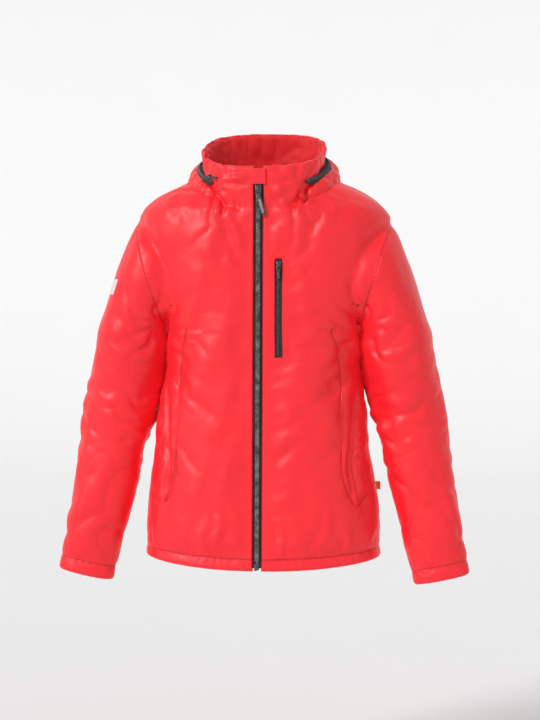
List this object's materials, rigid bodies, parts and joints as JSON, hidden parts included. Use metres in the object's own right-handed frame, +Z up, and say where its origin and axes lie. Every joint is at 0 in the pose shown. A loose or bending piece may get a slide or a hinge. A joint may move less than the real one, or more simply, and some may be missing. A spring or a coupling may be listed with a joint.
{
  "type": "ski jacket",
  "caption": "Hip-length padded ski jacket with a stand collar, stowed hood, full front zip, chest zip, welt hand pockets and set-in sleeves.",
  "frame": {"origin": "middle of the bight of the hanger loop, inside the back of the neck", "axes": "+Z up the worn jacket, -Y out of its front, +X to the wearer's left"},
  "size_m": [0.757, 0.2787, 0.8231],
  "materials": {
    "shell": "smooth matt woven polyester",
    "lining": "fine woven lining",
    "wadding": "fibre wadding",
    "zip_tape": "woven zip tape",
    "zip_teeth": "moulded teeth with a dull silvery face",
    "zip_metal": "dark satin zinc alloy",
    "elastic": "knitted elastic",
    "tab": "folded woven tab",
    "patch": "plain bonded patch"
  },
  "bodies": {
    "jacket_body": {"back_shell": "shell", "hood_pouch": "shell", "back_lining": "lining", "back_padding": "wadding", "left_front_shell": "shell", "left_front_padding": "wadding", "right_front_shell": "shell", "collar_shell": "shell", "collar_lining": "lining", "stowed_hood": "shell", "right_front_padding": "wadding", "right_front_lining": "lining", "left_front_lining": "lining", "hem_band": "shell", "hood_zip_tape": "zip_tape", "left_sleeve_head": "shell", "right_sleeve_head": "shell", "hood_zip_coil": "zip_teeth", "left_pocket_welt": "shell", "hanger_loop": "zip_tape", "right_pocket_welt": "shell", "chest_zip_tape": "zip_tape", "chest_pocket_bag": "lining", "left_pocket_bag": "lining", "right_pocket_bag": "lining", "chin_guard": "shell", "sleeve_patch": "patch", "left_zip_teeth": "zip_teeth", "left_zip_tape": "zip_tape", "right_zip_teeth": "zip_teeth", "right_zip_tape": "zip_tape", "inner_storm_flap": "shell", "insertion_pin": "zip_metal", "retainer_box": "zip_metal", "chest_zip_coil": "zip_teeth", "side_tab": "tab"},
    "main_zip_slider": {"main_zip_slider": "zip_metal"},
    "main_zip_pull": {"main_zip_pull": "zip_metal"},
    "chest_zip_slider": {"chest_zip_slider": "zip_metal"},
    "chest_zip_pull": {"chest_zip_pull": "zip_metal"},
    "hood_zip_slider": {"hood_zip_slider": "zip_metal"},
    "hood_zip_pull": {"hood_zip_pull": "zip_metal"},
    "left_upper_sleeve": {"left_upper_sleeve_shell": "shell", "left_upper_sleeve_padding": "wadding", "left_upper_sleeve_lining": "lining", "left_elbow_section": "shell"},
    "left_forearm": {"left_forearm_shell": "shell", "left_forearm_padding": "wadding", "left_forearm_lining": "lining", "left_cuff_band": "shell", "left_cuff_elastic": "elastic"},
    "right_upper_sleeve": {"right_upper_sleeve_shell": "shell", "right_upper_sleeve_padding": "wadding", "right_upper_sleeve_lining": "lining", "right_elbow_section": "shell"},
    "right_forearm": {"right_forearm_shell": "shell", "right_forearm_padding": "wadding", "right_forearm_lining": "lining", "right_cuff_band": "shell", "right_cuff_elastic": "elastic"}
  },
  "joints": [
    {"name": "main_zip_travel", "type": "slide", "parent": "jacket_body", "child": "main_zip_slider", "axis": [0, -0.0455, -0.999], "range_m": [0, 0.64]},
    {"name": "main_pull_swing", "type": "hinge", "parent": "main_zip_slider", "child": "main_zip_pull", "pos_m": [0, -0.17731, -0.04224], "axis": [-1, 0, 0], "range_deg": [0, 120]},
    {"name": "chest_zip_travel", "type": "slide", "parent": "jacket_body", "child": "chest_zip_slider", "axis": [0, -0.0455, -0.999], "range_m": [0, 0.145]},
    {"name": "chest_pull_swing", "type": "hinge", "parent": "chest_zip_slider", "child": "chest_zip_pull", "pos_m": [0.0365, -0.18128, -0.17641], "axis": [-1, 0, 0], "range_deg": [0, 150]},
    {"name": "hood_zip_travel", "type": "hinge", "parent": "jacket_body", "child": "hood_zip_slider", "pos_m": [0, -0.06968, 0], "axis": [0, 0.3518, -0.9361], "range_deg": [0, 250]},
    {"name": "hood_pull_swing", "type": "hinge", "parent": "hood_zip_slider", "child": "hood_zip_pull", "pos_m": [-0.09003, -0.14481, -0.01691], "axis": [-0.763, -0.6051, -0.2274], "range_deg": [0, 90]},
    {"name": "left_shoulder", "type": "hinge", "parent": "jacket_body", "child": "left_upper_sleeve", "pos_m": [0.2307, -0.07368, -0.2905], "axis": [0, -1, 0], "range_deg": [0, 35], "deforming": ["left_sleeve_head"]},
    {"name": "left_elbow", "type": "hinge", "parent": "left_upper_sleeve", "child": "left_forearm", "pos_m": [0.264, -0.07568, -0.447], "axis": [-0.9781, 0, -0.2079], "range_deg": [0, 80], "deforming": ["left_elbow_section"]},
    {"name": "right_shoulder", "type": "hinge", "parent": "jacket_body", "child": "right_upper_sleeve", "pos_m": [-0.2307, -0.07368, -0.2905], "axis": [0, 1, 0], "range_deg": [0, 35], "deforming": ["right_sleeve_head"]},
    {"name": "right_elbow", "type": "hinge", "parent": "right_upper_sleeve", "child": "right_forearm", "pos_m": [-0.264, -0.07568, -0.447], "axis": [-0.9781, 0, 0.2079], "range_deg": [0, 80], "deforming": ["right_elbow_section"]}
  ]
}
